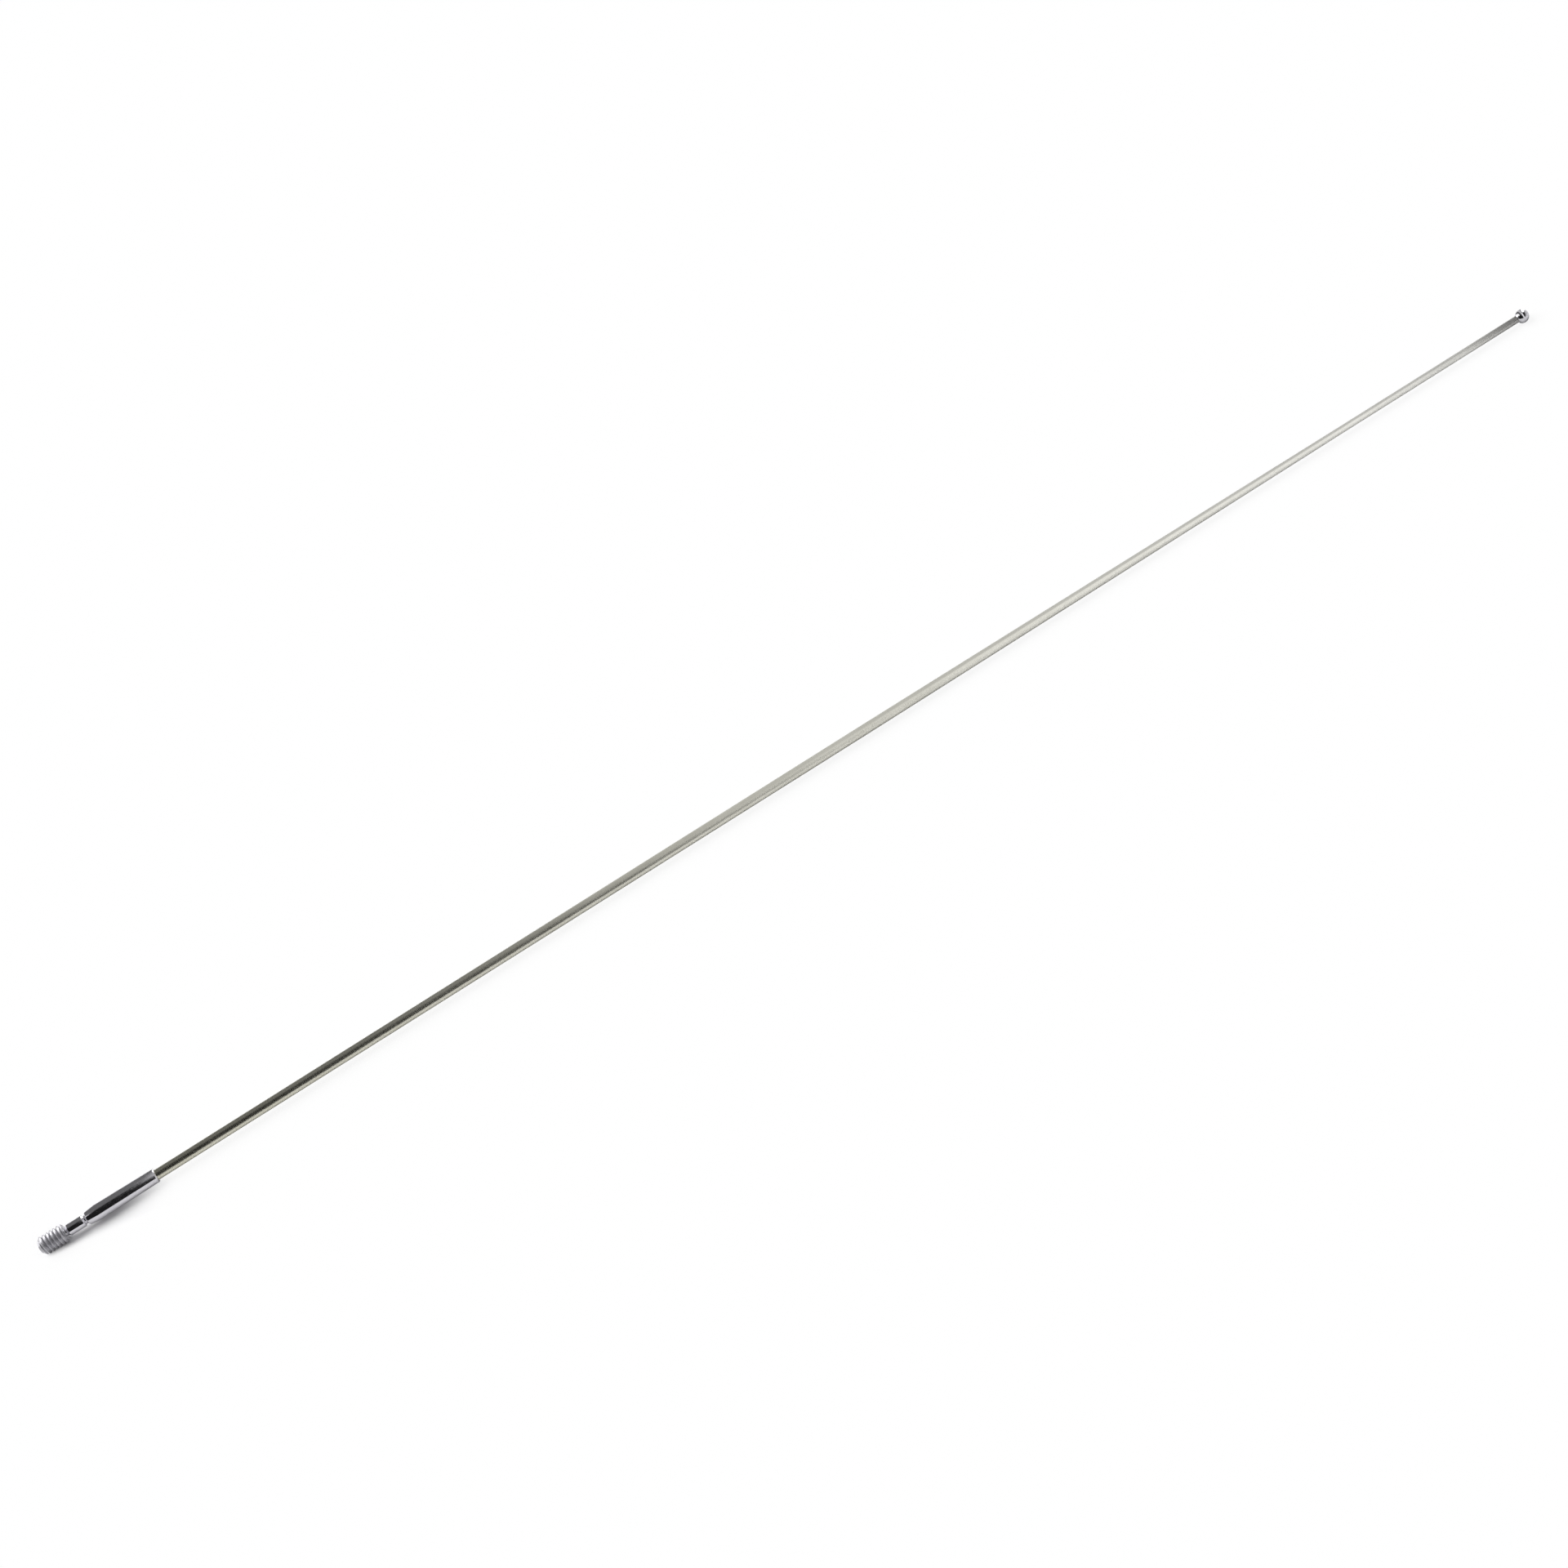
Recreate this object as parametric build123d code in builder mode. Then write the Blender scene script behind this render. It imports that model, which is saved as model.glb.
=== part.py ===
# Car antenna mast: a taper-ground whip, the turned ferrule that screws into the antenna
# base on the car, and the ball that closes the tip. The mast lies along +X with +Z up.
# The origin is the centre of the stud's flat free end. All lengths are in millimetres.
from build123d import *
import math
import os

# Whole mast
overall_length = 546.1

# Stud, given at the major diameter of its thread
stud_diameter = 6.35
stud_length = 9.2
stud_lead_in = 1.4
stud_back_bevel = 0.4

# Undercuts on both sides of the neck, and the neck between them with its two flanks
undercut_diameter = 2.7
stud_side_width = 0.55
barrel_side_width = 0.3
neck_diameter = 3.85
neck_length = 6.7
neck_stud_flank = 0.85
neck_barrel_flank = 0.5

# Barrel: a foot that widens from the neck to a shoulder, then a slight taper to the mouth
foot_diameter = 4.35
foot_flank = 0.7
foot_taper_length = 3.5
shoulder_diameter = 5.15
mouth_diameter = 4.65
barrel_length = 26.0
mouth_bevel = 0.3

# Whip: straight, then a long taper, then a thin straight end
whip_diameter = 3.4
whip_tip_diameter = 2.25
whip_taper_length = 178.0
whip_tip_length = 61.0
whip_end_bevel = 0.25

# Ball at the tip
ball_diameter = 4.4
ball_rim_bevel = 0.1

# Blind holes that hold the whip, one in the barrel and one in the ball
barrel_hole_depth = 18.0
ball_hole_depth = 2.4
drill_point_angle = 118.0
seat_gap = 0.02

# Places along the mast
neck_start = stud_length + stud_side_width
neck_end = neck_start + neck_length
barrel_start = neck_end + barrel_side_width
shoulder = barrel_start + foot_flank + foot_taper_length
barrel_end = barrel_start + barrel_length
ball_centre = overall_length - ball_diameter / 2

# Radii
stud_radius = stud_diameter / 2
undercut_radius = undercut_diameter / 2
neck_radius = neck_diameter / 2
foot_radius = foot_diameter / 2
shoulder_radius = shoulder_diameter / 2
mouth_radius = mouth_diameter / 2
whip_radius = whip_diameter / 2
tip_radius = whip_tip_diameter / 2
ball_radius = ball_diameter / 2
barrel_hole_radius = whip_radius + seat_gap
ball_hole_radius = tip_radius + seat_gap
ball_rim_radius = ball_hole_radius + ball_rim_bevel

# The ball has a small flat where its hole is drilled
ball_face = ball_centre - math.sqrt(ball_radius**2 - ball_rim_radius**2)
taper_end = ball_face - whip_tip_length
taper_start = taper_end - whip_taper_length
barrel_hole_bottom = barrel_end - barrel_hole_depth
ball_hole_bottom = ball_face + ball_hole_depth

drill_slope = math.tan(math.radians(drill_point_angle / 2))


def seat_depth(hole_radius, end_radius):
    """How far a flat end of this radius goes into the cone at the bottom of a hole."""
    return (hole_radius - end_radius) / drill_slope - seat_gap


whip_start = barrel_hole_bottom - seat_depth(barrel_hole_radius, whip_radius - whip_end_bevel)
whip_end = ball_hole_bottom + seat_depth(ball_hole_radius, tip_radius - whip_end_bevel)

# Ferrule: stud, neck and barrel turned as one piece of brass and plated
with BuildPart() as ferrule:
    with BuildSketch(Plane.XZ):
        with BuildLine():
            Polyline(
                (0, 0),
                (0, stud_radius - stud_lead_in),
                (stud_lead_in, stud_radius),
                (stud_length - stud_back_bevel, stud_radius),
                (stud_length, stud_radius - stud_back_bevel),
                (stud_length, undercut_radius),
                (neck_start, undercut_radius),
                (neck_start + neck_stud_flank, neck_radius),
                (neck_end - neck_barrel_flank, neck_radius),
                (neck_end, undercut_radius),
                (barrel_start, undercut_radius),
                (barrel_start + foot_flank, foot_radius),
                (shoulder, shoulder_radius),
                (barrel_end - mouth_bevel, mouth_radius),
                (barrel_end, mouth_radius - mouth_bevel),
                (barrel_end, 0),
                close=True,
            )
        make_face()
    revolve(axis=Axis.X)
    # Drilled hole with its pointed bottom
    with BuildSketch(Plane.XZ):
        with BuildLine():
            Polyline(
                (barrel_hole_bottom - barrel_hole_radius / drill_slope, 0),
                (barrel_hole_bottom, barrel_hole_radius),
                (barrel_end, barrel_hole_radius),
                (barrel_end, 0),
                close=True,
            )
        make_face()
    revolve(axis=Axis.X, mode=Mode.SUBTRACT)
ferrule.part.label = "ferrule"

# Whip: one stainless rod, ground to a long taper between two straight lengths
with BuildPart() as whip:
    with BuildSketch(Plane.XZ):
        with BuildLine():
            Polyline(
                (whip_start, 0),
                (whip_start, whip_radius - whip_end_bevel),
                (whip_start + whip_end_bevel, whip_radius),
                (taper_start, whip_radius),
                (taper_end, tip_radius),
                (whip_end - whip_end_bevel, tip_radius),
                (whip_end, tip_radius - whip_end_bevel),
                (whip_end, 0),
                close=True,
            )
        make_face()
    revolve(axis=Axis.X)
whip.part.label = "whip"

# Ball: a bead drilled past its middle, with a broken edge round the mouth of its hole
with BuildPart() as ball_tip:
    with BuildSketch(Plane.XZ):
        with BuildLine():
            mouth = Line((ball_face, ball_hole_radius), (ball_face, ball_rim_radius))
            outside = ThreePointArc(mouth @ 1, (ball_centre, ball_radius), (overall_length, 0))
            Polyline(
                outside @ 1,
                (ball_hole_bottom + ball_hole_radius / drill_slope, 0),
                (ball_hole_bottom, ball_hole_radius),
                mouth @ 0,
            )
        make_face()
    revolve(axis=Axis.X)
ball_tip.part.label = "ball_tip"

os.makedirs("parts", exist_ok=True)
for piece in (ferrule, whip, ball_tip):
    export_step(piece.part, f"parts/{piece.part.label}.step")
    box = piece.part.bounding_box()
    print(f"{piece.part.label}: X {box.min.X:.2f} to {box.max.X:.2f}, {piece.part.volume:.1f} mm3")
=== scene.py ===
# %% [markdown]
# # A car antenna mast
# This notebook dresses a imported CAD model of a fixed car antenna: a turned ferrule with a
# screw thread, a long taper-ground steel whip, and a small ball at the tip. The CAD model is
# the frame. It holds every size, and nothing here moves it. What Blender adds is the cut
# thread, softened edges, plated and ground metal, a pale floor and the photograph's view.

import math

import bpy
from mathutils import Matrix, Vector


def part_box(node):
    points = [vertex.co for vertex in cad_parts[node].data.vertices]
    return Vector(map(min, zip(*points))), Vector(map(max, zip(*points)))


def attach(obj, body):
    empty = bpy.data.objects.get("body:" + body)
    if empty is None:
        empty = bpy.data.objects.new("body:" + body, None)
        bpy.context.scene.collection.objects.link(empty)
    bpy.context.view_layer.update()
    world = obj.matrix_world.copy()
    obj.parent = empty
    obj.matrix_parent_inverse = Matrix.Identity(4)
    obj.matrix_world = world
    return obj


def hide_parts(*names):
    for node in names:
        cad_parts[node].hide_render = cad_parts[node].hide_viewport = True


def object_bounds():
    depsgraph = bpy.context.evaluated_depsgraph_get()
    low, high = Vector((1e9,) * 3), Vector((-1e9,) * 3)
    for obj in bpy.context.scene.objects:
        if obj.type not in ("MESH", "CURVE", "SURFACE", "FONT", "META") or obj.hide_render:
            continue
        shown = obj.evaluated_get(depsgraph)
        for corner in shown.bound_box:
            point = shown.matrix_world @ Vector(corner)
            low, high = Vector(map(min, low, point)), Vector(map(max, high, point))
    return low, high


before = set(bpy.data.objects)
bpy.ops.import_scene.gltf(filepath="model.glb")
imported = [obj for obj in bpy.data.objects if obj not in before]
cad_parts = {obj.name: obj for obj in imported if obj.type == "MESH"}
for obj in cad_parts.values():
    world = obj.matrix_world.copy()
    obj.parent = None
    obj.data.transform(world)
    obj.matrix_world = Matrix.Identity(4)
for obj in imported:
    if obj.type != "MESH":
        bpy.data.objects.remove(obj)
cad_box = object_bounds()
mast_length = cad_box[1].x - cad_box[0].x
print(f"CAD nodes: {sorted(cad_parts)}, mast {mast_length * 1000:.1f} mm long")

# %% [markdown]
# ## Sizes
# Blender works in metres, and a mast is measured in millimetres, so `MM` turns one into the
# other. Where a size can be read from the frame, it is read from the frame, so the dressed
# pieces can't drift away from the solids. The rest are the same sizes as in the CAD source.

# %% Sizes read from the frame, and sizes of the turned details
MM = 0.001

ferrule_low, ferrule_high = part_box("ferrule")
whip_low, whip_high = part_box("whip")
ball_low, ball_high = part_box("ball_tip")

barrel_end = ferrule_high.x
stud_radius = ferrule_high.y
whip_start = whip_low.x
whip_end = whip_high.x
whip_radius = whip_high.y
mast_end = ball_high.x
ball_radius = 4.4 * MM / 2
ball_centre = mast_end - ball_radius
ball_face = ball_low.x

stud_length = 9.2 * MM
stud_lead_in = 1.4 * MM
stud_back_bevel = 0.4 * MM
undercut_radius = 2.7 * MM / 2
stud_side_width = 0.55 * MM
barrel_side_width = 0.3 * MM
neck_radius = 3.85 * MM / 2
neck_length = 6.7 * MM
neck_stud_flank = 0.85 * MM
neck_barrel_flank = 0.5 * MM
foot_radius = 4.35 * MM / 2
foot_flank = 0.7 * MM
foot_taper_length = 3.5 * MM
shoulder_radius = 5.15 * MM / 2
mouth_radius = 4.65 * MM / 2
mouth_bevel = 0.3 * MM
barrel_hole_depth = 18.0 * MM
whip_tip_radius = 2.25 * MM / 2
whip_taper_length = 178.0 * MM
whip_tip_length = 61.0 * MM
whip_end_bevel = 0.25 * MM
ball_hole_depth = 2.4 * MM
ball_rim_bevel = 0.1 * MM
seat_gap = 0.02 * MM
drill_slope = math.tan(math.radians(118.0 / 2))
thread_pitch = 1.27 * MM

barrel_hole_radius = whip_radius + seat_gap
ball_hole_radius = whip_tip_radius + seat_gap
neck_start = stud_length + stud_side_width
neck_end = neck_start + neck_length
barrel_start = neck_end + barrel_side_width
shoulder = barrel_start + foot_flank + foot_taper_length
barrel_hole_bottom = barrel_end - barrel_hole_depth
taper_end = ball_face - whip_tip_length
taper_start = taper_end - whip_taper_length
ball_hole_bottom = ball_face + ball_hole_depth
print(f"barrel ends at {barrel_end / MM:.2f} mm, stud radius {stud_radius / MM:.3f} mm")

# %% [markdown]
# ## A profile with softened corners
# A lathe cuts one outline, and that outline is all that a turned piece needs. Here it is a
# row of points from the axis, along the outside, and back to the axis. A real edge is never
# perfectly sharp: it has a tiny radius that catches the light, so each corner can be given
# one. The helper replaces a corner by a short arc that is tangent to both of its sides.


# %% Profile helper
def softened(corners, radius, steps=4):
    """Points of an outline whose inner corners are arcs of this radius, where there is room."""
    points = [Vector(corners[0])]
    for before, corner, after in zip(corners, corners[1:], corners[2:]):
        before, corner, after = Vector(before), Vector(corner), Vector(after)
        back, ahead = before - corner, after - corner
        room = 0.4 * min(back.length, ahead.length)
        back.normalize()
        ahead.normalize()
        half_turn = math.acos(max(-1.0, min(1.0, back.dot(ahead)))) / 2
        reach = min(radius / math.tan(half_turn), room)
        arc_radius = reach * math.tan(half_turn)
        centre = corner + (back + ahead).normalized() * (arc_radius / math.sin(half_turn))
        first = corner + back * reach - centre
        last = corner + ahead * reach - centre
        sweep = first.angle_signed(last)
        for step in range(steps + 1):
            turn = Matrix.Rotation(-sweep * step / steps, 2)
            points.append(centre + turn @ first)
    points.append(Vector(corners[-1]))
    return points


def profile_object(name, points, threaded=()):
    """A mesh of loose vertices in the XZ plane. Those that a thread runs over are marked."""
    mesh = bpy.data.meshes.new(name)
    mesh.from_pydata([(p.x, 0, p.y) for p in points], [], [])
    mark = mesh.attributes.new("threaded", "FLOAT", "POINT")
    for index, value in enumerate(threaded):
        mark.data[index].value = value
    shape = bpy.data.objects.new(name, mesh)
    bpy.context.scene.collection.objects.link(shape)
    return shape


# %% [markdown]
# ## One lathe for every piece
# All three pieces are turned, so one Geometry Nodes tree can make them all: it takes a
# profile and spins it about X. The tree makes a grid with one row for each profile point and
# one column for each step of the turn, and then moves every vertex of the grid to its place.
#
# The screw thread is a rule too. Along a thread the crest moves one pitch for each turn, so
# the marked rows are sheared by that much, which makes the grid's own lines follow the
# helix. That keeps the crest crisp with few faces. The depth of the cut depends only on how
# far a point is from the nearest crest, and the bevelled ends simply limit the radius.


# %% Small helpers for building node trees
def value_node(tree, operation, *inputs):
    """A Math node. Each input is a number or another node's output."""
    node = tree.nodes.new("ShaderNodeMath")
    node.operation = operation
    for socket, value in zip(node.inputs, inputs):
        if isinstance(value, (int, float)):
            socket.default_value = value
        else:
            tree.links.new(value, socket)
    return node.outputs[0]


def node_with(tree, kind, links=(), **settings):
    """A node of this kind with its properties set and its named inputs linked or filled."""
    node = tree.nodes.new(kind)
    for key, value in settings.items():
        setattr(node, key, value)
    for name, value in links:
        socket = node.inputs[name]
        if isinstance(value, bpy.types.NodeSocket):
            tree.links.new(value, socket)
        else:
            socket.default_value = value
    return node


def product(tree, first, *others):
    """All the values multiplied together."""
    for value in others:
        first = value_node(tree, "MULTIPLY", first, value)
    return first


def greatest(tree, first, *others):
    """The greatest of the values."""
    for value in others:
        first = value_node(tree, "MAXIMUM", first, value)
    return first


# %% [markdown]
# The tree is built in four steps. The first names its inputs, so that one tree can turn a
# thick ferrule and a thin whip. The second makes the grid and finds, for each vertex, its
# row on the profile and how far round it stands. Sample Index then reads the profile there.

# %% The lathe's inputs, its grid, and the reading of the profile
LATHE_INPUTS = (
    ("Profile", "NodeSocketGeometry", None),
    ("Segments", "NodeSocketInt", 96),
    ("Thread start", "NodeSocketFloat", 0.0),
    ("Thread end", "NodeSocketFloat", 0.0),
    ("Pitch", "NodeSocketFloat", 1.0),
    ("Thread depth", "NodeSocketFloat", 0.0),
    ("Major radius", "NodeSocketFloat", 0.0),
    ("Front radius", "NodeSocketFloat", 0.0),
    ("Back radius", "NodeSocketFloat", 0.0),
    ("Sharp above", "NodeSocketFloat", math.radians(38)),
    ("Finish", "NodeSocketMaterial", None),
)


def profile_grid(tree, given):
    """A grid with a row for each profile point, and each vertex's row and share of a turn."""
    size = node_with(tree, "GeometryNodeAttributeDomainSize", [("Geometry", given["Profile"])])
    columns = value_node(tree, "ADD", given["Segments"], 1)
    counts = [("Vertices X", size.outputs["Point Count"]), ("Vertices Y", columns)]
    grid = node_with(tree, "GeometryNodeMeshGrid", counts)
    index = tree.nodes.new("GeometryNodeInputIndex").outputs[0]
    row = value_node(tree, "FLOOR", value_node(tree, "DIVIDE", index, columns))
    column = value_node(tree, "SUBTRACT", index, value_node(tree, "MULTIPLY", row, columns))
    turn = value_node(tree, "DIVIDE", column, given["Segments"])
    return grid.outputs["Mesh"], row, turn


def on_profile(tree, given, row, value, data_type):
    """A value of the profile, read at this row's point."""
    where = [("Geometry", given["Profile"]), ("Index", row)]
    sample = node_with(tree, "GeometryNodeSampleIndex", where, data_type=data_type)
    tree.links.new(value, sample.inputs["Value"])
    return sample.outputs["Value"]


print(f"the lathe takes {len(LATHE_INPUTS)} inputs")

# %% [markdown]
# The third step is the thread. A real one is cut with a pointed tool, which leaves a narrow
# flat at the crest and one at the root. Here a Ping-Pong node gives each point's distance
# from the nearest crest, and a clamped ramp turns that distance into the depth of the cut.

# %% The thread
CREST_SHARE = 1 / 40
FLANK_SHARE = 0.44


def thread_cut(tree, given, turn, x):
    """Where a threaded row's point lies along the stud, and its radius there."""
    along = value_node(tree, "MULTIPLY_ADD", given["Pitch"], turn, x)
    along = value_node(tree, "MAXIMUM", along, given["Thread start"])
    along = value_node(tree, "MINIMUM", along, given["Thread end"])
    phase = value_node(tree, "SUBTRACT", value_node(tree, "DIVIDE", along, given["Pitch"]), turn)
    from_crest = value_node(tree, "PINGPONG", phase, 0.5)
    flank = value_node(tree, "SUBTRACT", from_crest, CREST_SHARE)
    flank = value_node(tree, "DIVIDE", flank, FLANK_SHARE)
    flank = value_node(tree, "MINIMUM", value_node(tree, "MAXIMUM", flank, 0.0), 1.0)
    cut = value_node(tree, "MULTIPLY", flank, given["Thread depth"])
    radius = value_node(tree, "SUBTRACT", given["Major radius"], cut)
    # The bevels at both ends of the stud limit the radius
    from_start = value_node(tree, "SUBTRACT", along, given["Thread start"])
    to_end = value_node(tree, "SUBTRACT", given["Thread end"], along)
    lead_in = value_node(tree, "ADD", given["Front radius"], from_start)
    run_out = value_node(tree, "ADD", given["Back radius"], to_end)
    radius = value_node(tree, "MINIMUM", radius, lead_in)
    return along, value_node(tree, "MINIMUM", radius, run_out)


def chosen(tree, marked, plain, screwed):
    """The screwed value on marked rows, and the plain one on the others."""
    difference = value_node(tree, "SUBTRACT", screwed, plain)
    return value_node(tree, "MULTIPLY_ADD", difference, marked, plain)


# %% [markdown]
# The fourth step closes and shades the mesh. The grid's last column lies on its first and
# its end rows shrink to a point, so Merge by Distance closes the seam and the poles. Faces
# are shaded smooth, apart from edges that bend more than the given angle.

# %% Closing and shading
MERGE_DISTANCE = 1e-6


def closed_and_shaded(tree, given, mesh):
    """The spun grid as one closed mesh, with its sharp edges kept and its material set."""
    merged = node_with(
        tree,
        "GeometryNodeMergeByDistance",
        [("Geometry", mesh), ("Distance", MERGE_DISTANCE)],
    )
    smooth = node_with(
        tree,
        "GeometryNodeSetShadeSmooth",
        [("Geometry", merged.outputs[0]), ("Shade Smooth", True)],
        domain="FACE",
    )
    bend = tree.nodes.new("GeometryNodeInputMeshEdgeAngle").outputs["Unsigned Angle"]
    soft_edge = value_node(tree, "LESS_THAN", bend, given["Sharp above"])
    edged = node_with(
        tree,
        "GeometryNodeSetShadeSmooth",
        [("Geometry", smooth.outputs[0]), ("Shade Smooth", soft_edge)],
        domain="EDGE",
    )
    real = node_with(tree, "GeometryNodeRealizeInstances", [("Geometry", edged.outputs[0])])
    material = [("Geometry", real.outputs[0]), ("Material", given["Finish"])]
    return node_with(tree, "GeometryNodeSetMaterial", material).outputs[0]


# %% [markdown]
# The tree puts the steps together. A row that is marked as threaded takes its place and
# radius from the thread, any other row takes them from the profile, and the turn and the
# radius then give each vertex its place round the X axis.


# %% The lathe tree
def lathe_tree():
    """Spin a profile about X, with a right-hand thread over its marked rows."""
    tree = bpy.data.node_groups.new("Lathe", "GeometryNodeTree")
    for name, kind, value in LATHE_INPUTS:
        socket = tree.interface.new_socket(name, in_out="INPUT", socket_type=kind)
        if value is not None:
            socket.default_value = value
    tree.interface.new_socket("Piece", in_out="OUTPUT", socket_type="NodeSocketGeometry")
    given = tree.nodes.new("NodeGroupInput").outputs
    grid, row, turn = profile_grid(tree, given)

    # Where this row lies on the profile, and whether the thread runs over it
    place = tree.nodes.new("GeometryNodeInputPosition").outputs[0]
    place = on_profile(tree, given, row, place, "FLOAT_VECTOR")
    plain = node_with(tree, "ShaderNodeSeparateXYZ", [("Vector", place)]).outputs
    mark = node_with(tree, "GeometryNodeInputNamedAttribute", [("Name", "threaded")])
    marked = on_profile(tree, given, row, mark.outputs["Attribute"], "FLOAT")
    along, threaded_radius = thread_cut(tree, given, turn, plain["X"])
    axial = chosen(tree, marked, plain["X"], along)
    radius = chosen(tree, marked, plain["Z"], threaded_radius)

    # Spin about X
    angle = value_node(tree, "MULTIPLY", turn, 2 * math.pi)
    across = value_node(tree, "MULTIPLY", radius, value_node(tree, "COSINE", angle))
    up = value_node(tree, "MULTIPLY", radius, value_node(tree, "SINE", angle))
    spun = node_with(tree, "ShaderNodeCombineXYZ", [("X", axial), ("Y", across), ("Z", up)])
    places = [("Geometry", grid), ("Position", spun.outputs[0])]
    moved = node_with(tree, "GeometryNodeSetPosition", places)
    result = tree.nodes.new("NodeGroupOutput")
    finished = closed_and_shaded(tree, given, moved.outputs[0])
    tree.links.new(finished, result.inputs["Piece"])
    return tree


LATHE = lathe_tree()
print(f"the lathe tree has {len(LATHE.nodes)} nodes")

# %% [markdown]
# A modifier shows the tree's result on an object, but the object's own mesh stays as it was.
# The export wants plain meshes, so the evaluated result is copied into a new object and the
# profile is thrown away. The modifier's inputs are set by each socket's identifier.


# %% Turn a profile into a plain mesh piece
def turned(name, profile, **inputs):
    """Run the lathe on a profile object and keep the result as a plain mesh object."""
    modifier = profile.modifiers.new("Lathe", "NODES")
    modifier.node_group = LATHE
    sockets = {item.name: item.identifier for item in LATHE.interface.items_tree}
    for key, value in inputs.items():
        modifier[sockets[key.replace("_", " ")]] = value
    graph = bpy.context.evaluated_depsgraph_get()
    mesh = bpy.data.meshes.new_from_object(profile.evaluated_get(graph), depsgraph=graph)
    profile.modifiers.remove(modifier)
    bpy.data.objects.remove(profile)
    mesh.name = name
    piece = bpy.data.objects.new(name, mesh)
    bpy.context.scene.collection.objects.link(piece)
    triangles = sum(len(face.vertices) - 2 for face in mesh.polygons)
    print(f"{name}: {len(mesh.vertices)} vertices, {triangles} triangles")
    return piece


# %% [markdown]
# ## Finishes
# Each finish is a small node tree that reads Object coordinates. The pieces sit at the
# origin, so those coordinates are simply metres along and across the mast, and a pattern
# keeps its size and place on the metal. The helpers below each make one kind of node.

# %% Material helpers
NOISE_LOW = 0.3
NOISE_HIGH = 0.7


def new_material(name):
    """An empty material: its tree, its Principled shader and its Object coordinates."""
    material = bpy.data.materials.new(name)
    material.use_nodes = True
    tree = material.node_tree
    shader = tree.nodes["Principled BSDF"]
    where = tree.nodes.new("ShaderNodeTexCoord").outputs["Object"]
    return material, tree, shader, where


def noise(tree, where, scale, detail, roughness=0.5):
    """Soft noise on coordinates that are stretched by a factor for each axis."""
    stretched = node_with(tree, "ShaderNodeMapping", [("Vector", where), ("Scale", scale)])
    settings = [("Scale", 1.0), ("Detail", detail), ("Roughness", roughness)]
    vector = ("Vector", stretched.outputs[0])
    return node_with(tree, "ShaderNodeTexNoise", [vector, *settings]).outputs[0]


def ranged(tree, value, low, high, start=0.0, stop=1.0, shape="LINEAR"):
    """A value mapped from start..stop to low..high."""
    limits = [("From Min", start), ("From Max", stop), ("To Min", low), ("To Max", high)]
    links = [("Value", value), *limits]
    return node_with(tree, "ShaderNodeMapRange", links, interpolation_type=shape).outputs[0]


def noise_ranged(tree, value, low, high):
    """Noise, which hardly leaves the middle of 0..1, mapped to low..high."""
    return ranged(tree, value, low, high, NOISE_LOW, NOISE_HIGH)


def faded(tree, value, start, stop, low=0.0, high=1.0):
    """A value that goes gently from low at start to high at stop."""
    return ranged(tree, value, low, high, start, stop, "SMOOTHSTEP")


def blended(tree, value, first, second):
    """Two colours mixed by a value, where each is a node's output or three numbers."""
    node = tree.nodes.new("ShaderNodeMix")
    node.data_type = "RGBA"
    tree.links.new(value, node.inputs["Factor"])
    for name, colour in (("A", first), ("B", second)):
        if isinstance(colour, tuple):
            node.inputs[name].default_value = (*colour, 1)
        else:
            tree.links.new(colour, node.inputs[name])
    return node.outputs["Result"]


def bumped(tree, height, depth):
    """A normal bent by a height, where a height of one stands this deep, in metres."""
    links = [("Height", height), ("Distance", depth), ("Strength", 1.0)]
    return node_with(tree, "ShaderNodeBump", links).outputs[0]


# %% [markdown]
# Bright plating is a metal with a very low roughness. Its colour comes almost entirely from
# what it mirrors, so the studio matters as much as the material. Two things stop it from
# looking like a perfect computer mirror: the fine rings that the lathe tool left under the
# plating, and a roughness that wanders a little over the surface. Plating stays thin and
# dull in the grooves of a thread, so the ferrule is darker and rougher along its stud.

# %% Bright plating
CLOUD_SCALE = (140, 420, 420)
HAZE_SCALE = (900, 1600, 1600)
TOOL_RING_SCALE = (16000, 200, 200)
THREAD_COLOUR = (0.45, 0.445, 0.47)
THREAD_DULLNESS = 0.30
THREAD_FADE = 0.5 * MM


def plating(name, colours, roughness, ring_depth, dull_until=0.0):
    """Plated brass: a mirror with tool rings and haze, and a duller thread where it has one."""
    material, tree, shader, where = new_material(name)
    cloud = noise(tree, where, CLOUD_SCALE, 3.0)
    haze = noise(tree, where, HAZE_SCALE, 2.0)
    rings = noise(tree, where, TOOL_RING_SCALE, 1.0)
    along = node_with(tree, "ShaderNodeSeparateXYZ", [("Vector", where)]).outputs["X"]
    thread = ranged(tree, along, 1, 0, dull_until, dull_until + THREAD_FADE)
    colour = blended(tree, noise_ranged(tree, cloud, 0, 1), *colours)
    colour = blended(tree, thread, colour, THREAD_COLOUR)
    dullness = noise_ranged(tree, haze, *roughness)
    dullness = value_node(tree, "MULTIPLY_ADD", thread, THREAD_DULLNESS, dullness)
    tree.links.new(colour, shader.inputs["Base Color"])
    tree.links.new(dullness, shader.inputs["Roughness"])
    tree.links.new(bumped(tree, rings, ring_depth), shader.inputs["Normal"])
    shader.inputs["Metallic"].default_value = 1.0
    return material


ferrule_finish = plating(
    "Bright plated ferrule",
    colours=((0.56, 0.55, 0.58), (0.62, 0.61, 0.64)),
    roughness=(0.07, 0.13),
    ring_depth=0.0012 * MM,
    dull_until=stud_length,
)
ball_finish = plating(
    "Plated ball",
    colours=((0.52, 0.515, 0.54), (0.60, 0.595, 0.62)),
    roughness=(0.10, 0.18),
    ring_depth=0.0006 * MM,
)
print(f"plating: {ferrule_finish.name}, {ball_finish.name}")

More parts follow.
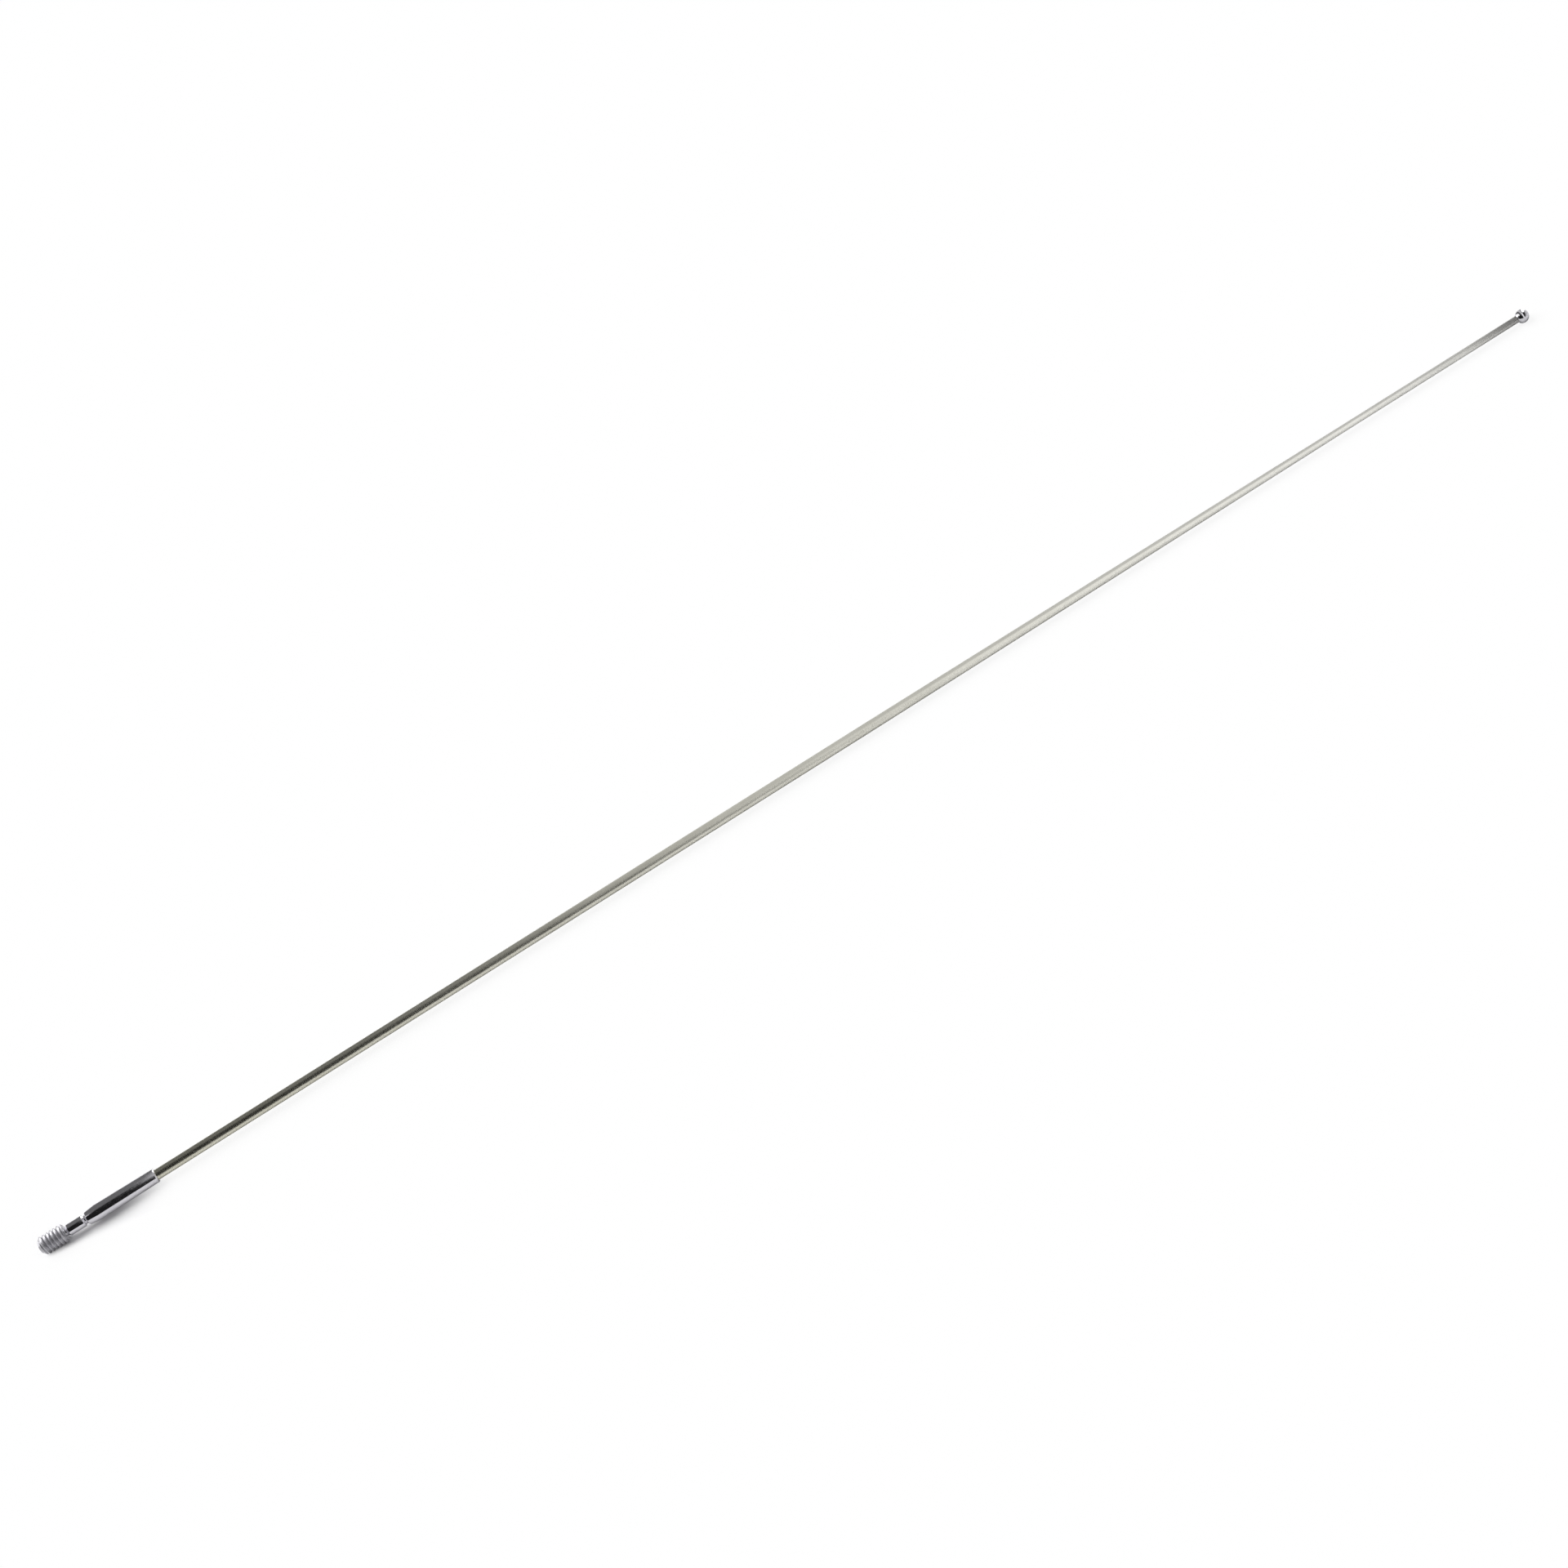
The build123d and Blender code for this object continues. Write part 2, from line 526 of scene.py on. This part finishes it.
# %% [markdown]
# The whip is ground between wheels, which leaves countless fine scratches round it. Light
# that meets such a surface spreads along the rod but stays fairly sharp across it, so the
# shader is anisotropic, with its tangent running round the X axis. The scratches themselves
# are a noise stretched round the rod. Stainless steel is a little warmer than plating, and
# here the tint is strongest at the ferrule. Over the last two centimetres before the ball the
# colour is darker. Both changes follow the X coordinate.

# %% Ground stainless steel
GRIND_SCALE = (9000, 240, 240)
GRIND_DEPTH = 0.0012 * MM
GRIND_ROUGHNESS = (0.22, 0.30)
SPREAD_ALONG_ROD = 0.75
SHADE_SCALE = (90, 300, 300)
STEEL_AT_FERRULE = ((0.57, 0.555, 0.46), (0.63, 0.615, 0.52))
STEEL_AT_TIP = ((0.60, 0.595, 0.565), (0.65, 0.645, 0.615))
# The colour of the last stretch before the ball, which is darker than the rest of the whip
STEEL_NEAR_BALL = (0.31, 0.305, 0.295)
DARKER_BEFORE_BALL_LENGTH = 20 * MM


def ground_steel(name):
    """Satin steel, warmer at the ferrule and darkened just before the ball."""
    material, tree, shader, where = new_material(name)
    grind = noise(tree, where, GRIND_SCALE, 3.0, 0.6)
    cloud = noise_ranged(tree, noise(tree, where, SHADE_SCALE, 2.0), 0, 1)
    along = node_with(tree, "ShaderNodeSeparateXYZ", [("Vector", where)]).outputs["X"]
    base = blended(tree, cloud, *STEEL_AT_FERRULE)
    tip = blended(tree, cloud, *STEEL_AT_TIP)
    steel = blended(tree, ranged(tree, along, 0, 1, barrel_end, whip_end), base, tip)
    # The colour is darker over the last stretch before the ball
    near_ball = ranged(tree, along, 0, 1, ball_face - DARKER_BEFORE_BALL_LENGTH, ball_face)
    tangent = tree.nodes.new("ShaderNodeTangent")
    tangent.direction_type = "RADIAL"
    tangent.axis = "X"
    for name_of_input, value in (
        ("Base Color", blended(tree, near_ball, steel, STEEL_NEAR_BALL)),
        ("Roughness", noise_ranged(tree, grind, *GRIND_ROUGHNESS)),
        ("Normal", bumped(tree, grind, GRIND_DEPTH)),
        ("Tangent", tangent.outputs[0]),
    ):
        tree.links.new(value, shader.inputs[name_of_input])
    shader.inputs["Metallic"].default_value = 1.0
    shader.inputs["Anisotropic"].default_value = SPREAD_ALONG_ROD
    return material


whip_finish = ground_steel("Ground stainless steel")
print(f"steel: {whip_finish.name}")

# %% [markdown]
# ## The ferrule
# The ferrule is one turned piece. The photograph shows a threaded stud, a narrow cut behind
# it, a short neck, a second cut, and the barrel, whose foot narrows towards the neck. The
# outline below goes along all of them, and then into the drilled hole that holds the whip.
# Over the stud the outline only needs rows at the right places within each pitch: five close
# together at the crest, five at the root and three on each flank. The lathe tree cuts the
# thread there.

# %% Turn the ferrule
EDGE = 0.06 * MM
THREAD_DEPTH = 0.46 * thread_pitch
ROWS_TO_THE_ROOT = (0.015, 0.025, 0.12, 0.24, 0.36, 0.45, 0.465)
ROWS_BACK_UP = [1 - share for share in reversed(ROWS_TO_THE_ROOT)]
ROWS_IN_A_PITCH = (0.0, *ROWS_TO_THE_ROOT, 0.5, *ROWS_BACK_UP)


def thread_rows():
    """Places along the stud where the marked rows stand, from a pitch before it to its end."""
    turns = range(-2, math.ceil(stud_length / thread_pitch) + 1)
    rows = [(turn + share) * thread_pitch for turn in turns for share in ROWS_IN_A_PITCH]
    return [x for x in rows if x >= -thread_pitch - EDGE]


shank = softened(
    [
        (stud_length, stud_radius - stud_back_bevel),
        (stud_length, undercut_radius),
        (neck_start, undercut_radius),
        (neck_start + neck_stud_flank, neck_radius),
        (neck_end - neck_barrel_flank, neck_radius),
        (neck_end, undercut_radius),
        (barrel_start, undercut_radius),
        (barrel_start + foot_flank, foot_radius),
        (shoulder, shoulder_radius),
        (barrel_end - mouth_bevel, mouth_radius),
        (barrel_end, mouth_radius - mouth_bevel),
        (barrel_end, barrel_hole_radius),
        (barrel_hole_bottom, barrel_hole_radius),
        (barrel_hole_bottom - barrel_hole_radius / drill_slope, 0),
    ],
    EDGE,
)
stud_rows = [Vector((x, stud_radius)) for x in thread_rows()]
stud_face = [Vector((0, 0)), Vector((0, stud_radius - stud_lead_in))]
ferrule_points = stud_face + stud_rows + shank[1:]
threaded = [0.0] * len(stud_face) + [1.0] * len(stud_rows) + [0.0] * (len(shank) - 1)

ferrule = turned(
    "ferrule_turned",
    profile_object("ferrule outline", ferrule_points, threaded),
    Segments=128,
    Thread_start=0.0,
    Thread_end=stud_length,
    Pitch=thread_pitch,
    Thread_depth=THREAD_DEPTH,
    Major_radius=stud_radius,
    Front_radius=stud_radius - stud_lead_in,
    Back_radius=stud_radius - stud_back_bevel,
    Finish=ferrule_finish,
)
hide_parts("ferrule")
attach(ferrule, "root")

# %% [markdown]
# ## The whip
# The whip is the plainest piece and the longest: a rod that keeps its thickness for a little
# over half its length, is then ground to a taper, and ends in a thin straight length. Its two
# ends are bevelled so that they start easily in their holes. The lathe needs only the
# outline's corners.

# %% Turn the whip
whip_outline = softened(
    [
        (whip_start, 0),
        (whip_start, whip_radius - whip_end_bevel),
        (whip_start + whip_end_bevel, whip_radius),
        (taper_start, whip_radius),
        (taper_end, whip_tip_radius),
        (whip_end - whip_end_bevel, whip_tip_radius),
        (whip_end, whip_tip_radius - whip_end_bevel),
        (whip_end, 0),
    ],
    EDGE,
)
whip = turned(
    "whip_ground",
    profile_object("whip outline", whip_outline),
    Segments=64,
    Finish=whip_finish,
)
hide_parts("whip")
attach(whip, "root")

# %% [markdown]
# ## The ball
# The ball is a bead with a blind hole. Its outline starts at the bottom of that hole, comes
# out along the wall to the small flat round the mouth, and then follows a circle to the tip.
# A circle is a rule, so its points are worked out and not listed.

# %% Turn the ball
BALL_STEPS = 40
rim_radius = ball_hole_radius + ball_rim_bevel
first_angle = math.pi - math.asin(rim_radius / ball_radius)
ball_arc = [
    (
        ball_centre + ball_radius * math.cos(first_angle * (1 - step / BALL_STEPS)),
        ball_radius * math.sin(first_angle * (1 - step / BALL_STEPS)),
    )
    for step in range(BALL_STEPS)
]
ball_corners = [
    (ball_hole_bottom + ball_hole_radius / drill_slope, 0),
    (ball_hole_bottom, ball_hole_radius),
    (ball_face, ball_hole_radius),
]
ball_points = [Vector(p) for p in [*ball_corners, *ball_arc, (mast_end, 0)]]
ball = turned(
    "ball_bead",
    profile_object("ball outline", ball_points),
    Segments=72,
    Finish=ball_finish,
)
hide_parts("ball_tip")
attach(ball, "root")

# %% [markdown]
# ## The floor
# The mast lies on a white table. It touches it with its two thickest places, the stud and
# the ball, and because the stud is the thicker of the two the mast leans by a tenth of a
# degree. The mast is the fixed frame here, so it is the table that leans instead.
#
# The photograph's background has been cleaned, as catalogues do: the shadow beside the
# ferrule is left, and along the whip it is almost gone. The floor does the same. It is a
# matt white surface that receives the real shadow, and for camera rays alone it is mixed
# with plain white, by an amount that depends on the place on the table.

# %% The table's place
FLOOR_REACH = 6.0
stud_middle = (stud_lead_in + stud_length) / 2
floor_slope = (stud_radius - ball_radius) / (ball_centre - stud_middle)


def floor_height(x):
    """Height of the leaning table top under this place on the mast."""
    return -stud_radius + (x - stud_middle) * floor_slope


print(f"the floor leans {math.degrees(floor_slope):.3f} degrees")

# %% The table's finish
TABLE_WHITE = (0.94, 0.94, 0.945, 1)
TABLE_ROUGHNESS = 0.9
SHADOW_LEFT = 0.12
BEFORE_STUD = (1 * MM, -5 * MM)
IN_FRONT = (0.8 * MM, -3.0 * MM)
IN_FRONT_SLANT = 0.22
BEHIND = (6 * MM, 14 * MM)
BEYOND_FERRULE = (25 * MM, 48 * MM)


def white_table_finish():
    """Matt white. The camera sees the shadow beside the ferrule, and only faintly elsewhere."""
    material, tree, shader, where = new_material("White table top")
    shader.inputs["Base Color"].default_value = TABLE_WHITE
    shader.inputs["Roughness"].default_value = TABLE_ROUGHNESS
    shader.inputs["Specular IOR Level"].default_value = 0.0
    along, across, _ = node_with(tree, "ShaderNodeSeparateXYZ", [("Vector", where)]).outputs[:]
    slanted = value_node(tree, "MULTIPLY_ADD", along, IN_FRONT_SLANT, across)
    cleaned = greatest(
        tree,
        faded(tree, along, *BEFORE_STUD),
        faded(tree, slanted, *IN_FRONT),
        faded(tree, across, *BEHIND),
        faded(tree, along, *BEYOND_FERRULE),
    )
    camera_ray = tree.nodes.new("ShaderNodeLightPath").outputs["Is Camera Ray"]
    amount = product(tree, cleaned, 1 - SHADOW_LEFT, camera_ray)
    white = node_with(tree, "ShaderNodeEmission", [("Strength", 1.0)])
    mixed = node_with(tree, "ShaderNodeMixShader", [("Fac", amount)])
    tree.links.new(shader.outputs[0], mixed.inputs[1])
    tree.links.new(white.outputs[0], mixed.inputs[2])
    tree.links.new(mixed.outputs[0], tree.nodes["Material Output"].inputs["Surface"])
    return material


# %% The table top
def pale_floor():
    """A large flat table top, white, just touching the stud and the ball."""
    mesh = bpy.data.meshes.new("table_top")
    left, right = mast_length / 2 - FLOOR_REACH, mast_length / 2 + FLOOR_REACH
    corners = [
        (left, -FLOOR_REACH, floor_height(left)),
        (right, -FLOOR_REACH, floor_height(right)),
        (right, FLOOR_REACH, floor_height(right)),
        (left, FLOOR_REACH, floor_height(left)),
    ]
    mesh.from_pydata(corners, [], [(0, 1, 2, 3)])
    mesh.materials.append(white_table_finish())
    floor = bpy.data.objects.new("table_top", mesh)
    bpy.context.scene.collection.objects.link(floor)


pale_floor()
print(f"the table reaches {FLOOR_REACH:.0f} m to each side")

# %% [markdown]
# ## Light and the room
# Metal shows the room, so the room is part of the picture. In the photograph the plated
# barrel mirrors the white table below, the dark side of the room behind the camera, and a
# grey wall and ceiling above and behind. The whip turns pale towards the ball, which tells
# of a window on that side that reaches further to the left behind the mast than in front.
# The thread's flanks catch a glow from behind. The ball shows a pale wall beside it and two
# soft lamps. The world shader paints that room for glossy rays only. The camera sees plain
# white, and matt surfaces get an even light.
#
# In the world, a direction has three parts: x towards the ball's side, y away from the
# camera, and z up. A fade along one of them is an edge of the room, and its two numbers say
# where that edge starts and ends.

# %% The glow behind
GLOW = 5.6
LEFT_GLOW_SHARE = 0.7
LEFT_GLOW = (-0.50, -0.66)
RIGHT_GLOW_FROM = (0.38, 0.52)
RIGHT_GLOW_TO = (0.82, 0.70)
GLOW_BEHIND = (0.28, 0.44)
GLOW_BEHIND_TILT = 0.3
GLOW_BELOW = (0.95, 0.80)


def glow_behind(tree, x, y, z):
    """A bright band behind, strong on the ball's side and weaker on the other."""
    left = faded(tree, x, *LEFT_GLOW, 0.0, LEFT_GLOW_SHARE)
    right = product(tree, faded(tree, x, *RIGHT_GLOW_FROM), faded(tree, x, *RIGHT_GLOW_TO))
    tilted = value_node(tree, "MULTIPLY_ADD", z, GLOW_BEHIND_TILT, y)
    behind = faded(tree, tilted, *GLOW_BEHIND)
    return product(tree, greatest(tree, left, right), behind, faded(tree, z, *GLOW_BELOW))


# %% The window
WINDOW_FRONT = 1.4
WINDOW_BACK = 0.82
WINDOW_FRONT_FROM = (-0.06, 0.08)
WINDOW_FRONT_TO = (0.1, -0.3)
WINDOW_BACK_FROM = (-0.125, -0.07)
WINDOW_BACK_CORNER = (-1.3, -0.85)
WINDOW_BACK_SLANT = 5.5
WINDOW_RIGHT = (0.34, 0.26)


def window_light(tree, x, y):
    """A window on the ball's side: bright in front of the mast and softer behind it."""
    front_edges = faded(tree, x, *WINDOW_FRONT_FROM), faded(tree, y, *WINDOW_FRONT_TO)
    front = product(tree, *front_edges, WINDOW_FRONT)
    slanted = value_node(tree, "MULTIPLY_ADD", x, WINDOW_BACK_SLANT, y)
    back_edges = faded(tree, x, *WINDOW_BACK_FROM), faded(tree, slanted, *WINDOW_BACK_CORNER)
    back = product(tree, *back_edges, WINDOW_BACK)
    return product(tree, greatest(tree, front, back), faded(tree, x, *WINDOW_RIGHT))


# %% The soft lamps that the ball shows
SOFT_LAMPS = (((-0.61, -0.06, 0.79), 1.1), ((0.75, -0.645, 0.13), 0.6))
SOFT_LAMP_EDGE = (0.975, 0.992)


def mirrored_lamp(tree, toward, direction, brightness):
    """A round lamp with a soft edge, seen in this direction."""
    near = node_with(tree, "ShaderNodeVectorMath", operation="DOT_PRODUCT")
    tree.links.new(toward, near.inputs[0])
    near.inputs[1].default_value = Vector(direction).normalized()
    return faded(tree, near.outputs["Value"], *SOFT_LAMP_EDGE, 0.0, brightness)


# %% The whole room
ROOM_DARK = 0.015
ROOM_GREY = 0.20
DARK_TO_GREY = (-0.35, 0.05)
SIDE_WALL = 0.7
SIDE_WALL_FROM = (0.76, 0.88)


def mirrored_room(tree):
    """How bright the room is in each direction that the metal mirrors."""
    toward = tree.nodes.new("ShaderNodeTexCoord").outputs["Generated"]
    x, y, z = node_with(tree, "ShaderNodeSeparateXYZ", [("Vector", toward)]).outputs[:]
    walls = faded(tree, y, *DARK_TO_GREY, ROOM_DARK, ROOM_GREY)
    walls = greatest(tree, walls, faded(tree, x, *SIDE_WALL_FROM, 0.0, SIDE_WALL))
    room = value_node(tree, "MULTIPLY_ADD", glow_behind(tree, x, y, z), GLOW, walls)
    lamps = [mirrored_lamp(tree, toward, *lamp) for lamp in SOFT_LAMPS]
    return greatest(tree, room, window_light(tree, x, y), *lamps)


# %% World
SKY_LIGHT = 0.38


def background(tree, strength):
    """White light of this strength, which is a number or a node's output."""
    settings = [("Color", (1, 1, 1, 1)), ("Strength", strength)]
    return node_with(tree, "ShaderNodeBackground", settings).outputs[0]


def switched(tree, ray, otherwise, seen):
    """One background for this kind of ray, and the other for all the rest."""
    mix = node_with(tree, "ShaderNodeMixShader", [("Fac", ray)])
    tree.links.new(otherwise, mix.inputs[1])
    tree.links.new(seen, mix.inputs[2])
    return mix.outputs[0]


def studio_world():
    """Even light for matt surfaces, the room for glossy rays, and white for the camera."""
    world = bpy.data.worlds.new("Studio")
    bpy.context.scene.world = world
    world.use_nodes = True
    tree = world.node_tree
    tree.nodes.clear()
    ray = tree.nodes.new("ShaderNodeLightPath").outputs
    even = background(tree, SKY_LIGHT)
    mirrored = background(tree, mirrored_room(tree))
    light = switched(tree, ray["Is Glossy Ray"], even, mirrored)
    light = switched(tree, ray["Is Camera Ray"], light, background(tree, 1.0))
    output = tree.nodes.new("ShaderNodeOutputWorld")
    tree.links.new(light, output.inputs["Surface"])
    print(f"the world has {len(tree.nodes)} nodes")


studio_world()

# %% [markdown]
# One lamp casts the shadow. In the photograph it is soft, lies in front of the ferrule and
# falls short at the stud's free end, so the lamp stands high, to the left and behind. A Sun
# is as good as far away, and the angle under which it is seen sets how soft its shadow is.

# %% Soft lamp
LAMP_FROM = Vector((-0.535, 0.357, 0.765))
LAMP_SPREAD = math.radians(60)
LAMP_POWER = 2.78


def soft_lamp():
    """A broad, distant lamp, high on the left and behind. Metal mirrors the room and not it."""
    light = bpy.data.lights.new("Soft lamp", "SUN")
    light.energy = LAMP_POWER
    light.angle = LAMP_SPREAD
    lamp = bpy.data.objects.new("Soft lamp", light)
    lamp.rotation_mode = "QUATERNION"
    lamp.rotation_quaternion = LAMP_FROM.to_track_quat("Z", "Y")
    lamp.visible_glossy = False
    bpy.context.scene.collection.objects.link(lamp)


soft_lamp()
print(f"the lamp looks {math.degrees(LAMP_SPREAD):.0f} degrees wide")

# %% [markdown]
# ## The camera
# The photograph looks down at the mast square to its length, and is turned so that the mast
# runs from the lower left to the upper right. The camera is placed in the same way: it looks
# at a point on the mast from above and in front, and is then rolled by the mast's angle. How
# far away it stands follows from the lens and from how much of the mast the frame shows.

# %% Camera
IMAGE_SIZE = 1920
MAST_LENGTH_IN_IMAGE = 2152.0
MAST_ANGLE = math.radians(32.17)
CAMERA_HEIGHT = math.radians(40)
MIDDLE_ALONG_MAST = 1073.4
MAST_ABOVE_MIDDLE = 3.85
LENS = 85.0
SENSOR = 36.0
CLIP = (0.01, 100)


def photograph_camera():
    """A camera above and in front of the mast, rolled by the mast's angle in the frame."""
    pixel = mast_length / MAST_LENGTH_IN_IMAGE
    upward = Vector((0, math.sin(CAMERA_HEIGHT), math.cos(CAMERA_HEIGHT)))
    backward = Vector((0, -math.cos(CAMERA_HEIGHT), math.sin(CAMERA_HEIGHT)))
    across = Vector((1, 0, 0))
    target = across * MIDDLE_ALONG_MAST * pixel - upward * MAST_ABOVE_MIDDLE * pixel
    right = across * math.cos(MAST_ANGLE) - upward * math.sin(MAST_ANGLE)
    top = across * math.sin(MAST_ANGLE) + upward * math.cos(MAST_ANGLE)
    distance = IMAGE_SIZE * pixel * LENS / SENSOR
    data = bpy.data.cameras.new("Photograph")
    data.lens = LENS
    data.sensor_width = SENSOR
    data.clip_start, data.clip_end = CLIP
    camera = bpy.data.objects.new("Photograph", data)
    facing = Matrix((right, top, backward)).transposed()
    camera.matrix_world = Matrix.Translation(target + backward * distance) @ facing.to_4x4()
    bpy.context.scene.collection.objects.link(camera)
    bpy.context.scene.camera = camera
    print(f"camera {distance:.3f} m from the mast")


photograph_camera()
bpy.context.scene.view_settings.view_transform = "Standard"

# %% [markdown]
# ## The end
# The last call updates the view layer.

# %% The end
bpy.context.view_layer.update()
